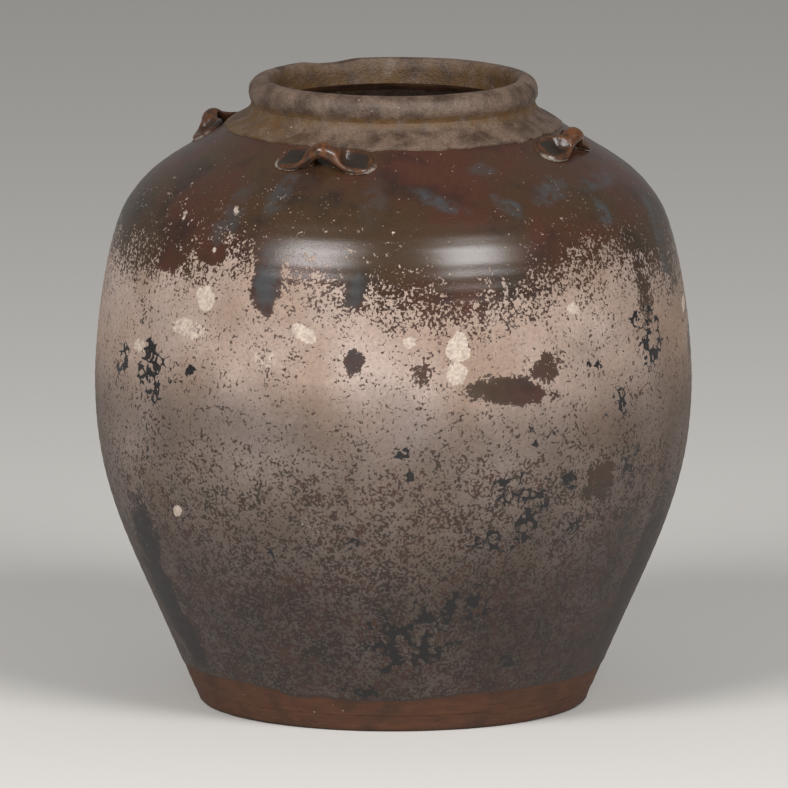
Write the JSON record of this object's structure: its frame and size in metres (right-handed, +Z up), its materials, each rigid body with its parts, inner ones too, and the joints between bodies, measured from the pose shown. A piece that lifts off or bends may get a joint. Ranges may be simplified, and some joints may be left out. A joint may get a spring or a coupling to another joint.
{
  "type": "martaban jar",
  "caption": "Large stoneware storage jar with a wide shoulder, a short neck with rolled rim, cord lugs on the shoulder and a narrow flat foot.",
  "frame": {"origin": "middle of the flat foot, on the floor", "axes": "+Z up along the jar's turning axis; the four lugs lie on -Y, +X, +Y and -X"},
  "size_m": [0.5999, 0.6, 0.632],
  "materials": {
    "biscuit_clay": "unglazed stoneware, matt, orange-brown with dark flecks",
    "worn_glaze": "dark glaze, weathered matt with a pale pitted bloom and dark flakes",
    "dark_glaze": "glossy chocolate-brown glaze with bluish runs and pale specks",
    "ash_glaze": "satin grey-brown ash glaze, gritty",
    "amber_glaze": "glossy amber-brown glaze"
  },
  "bodies": {
    "root": {"base_disc": "biscuit_clay", "foot_coil": "biscuit_clay", "lower_wall": "worn_glaze", "belly_coil": "biscuit_clay", "upper_wall": "dark_glaze", "neck_ring": "ash_glaze", "rim_roll": "ash_glaze", "lug_front": "amber_glaze", "lug_right": "amber_glaze", "lug_back": "amber_glaze", "lug_left": "amber_glaze"}
  },
  "joints": []
}
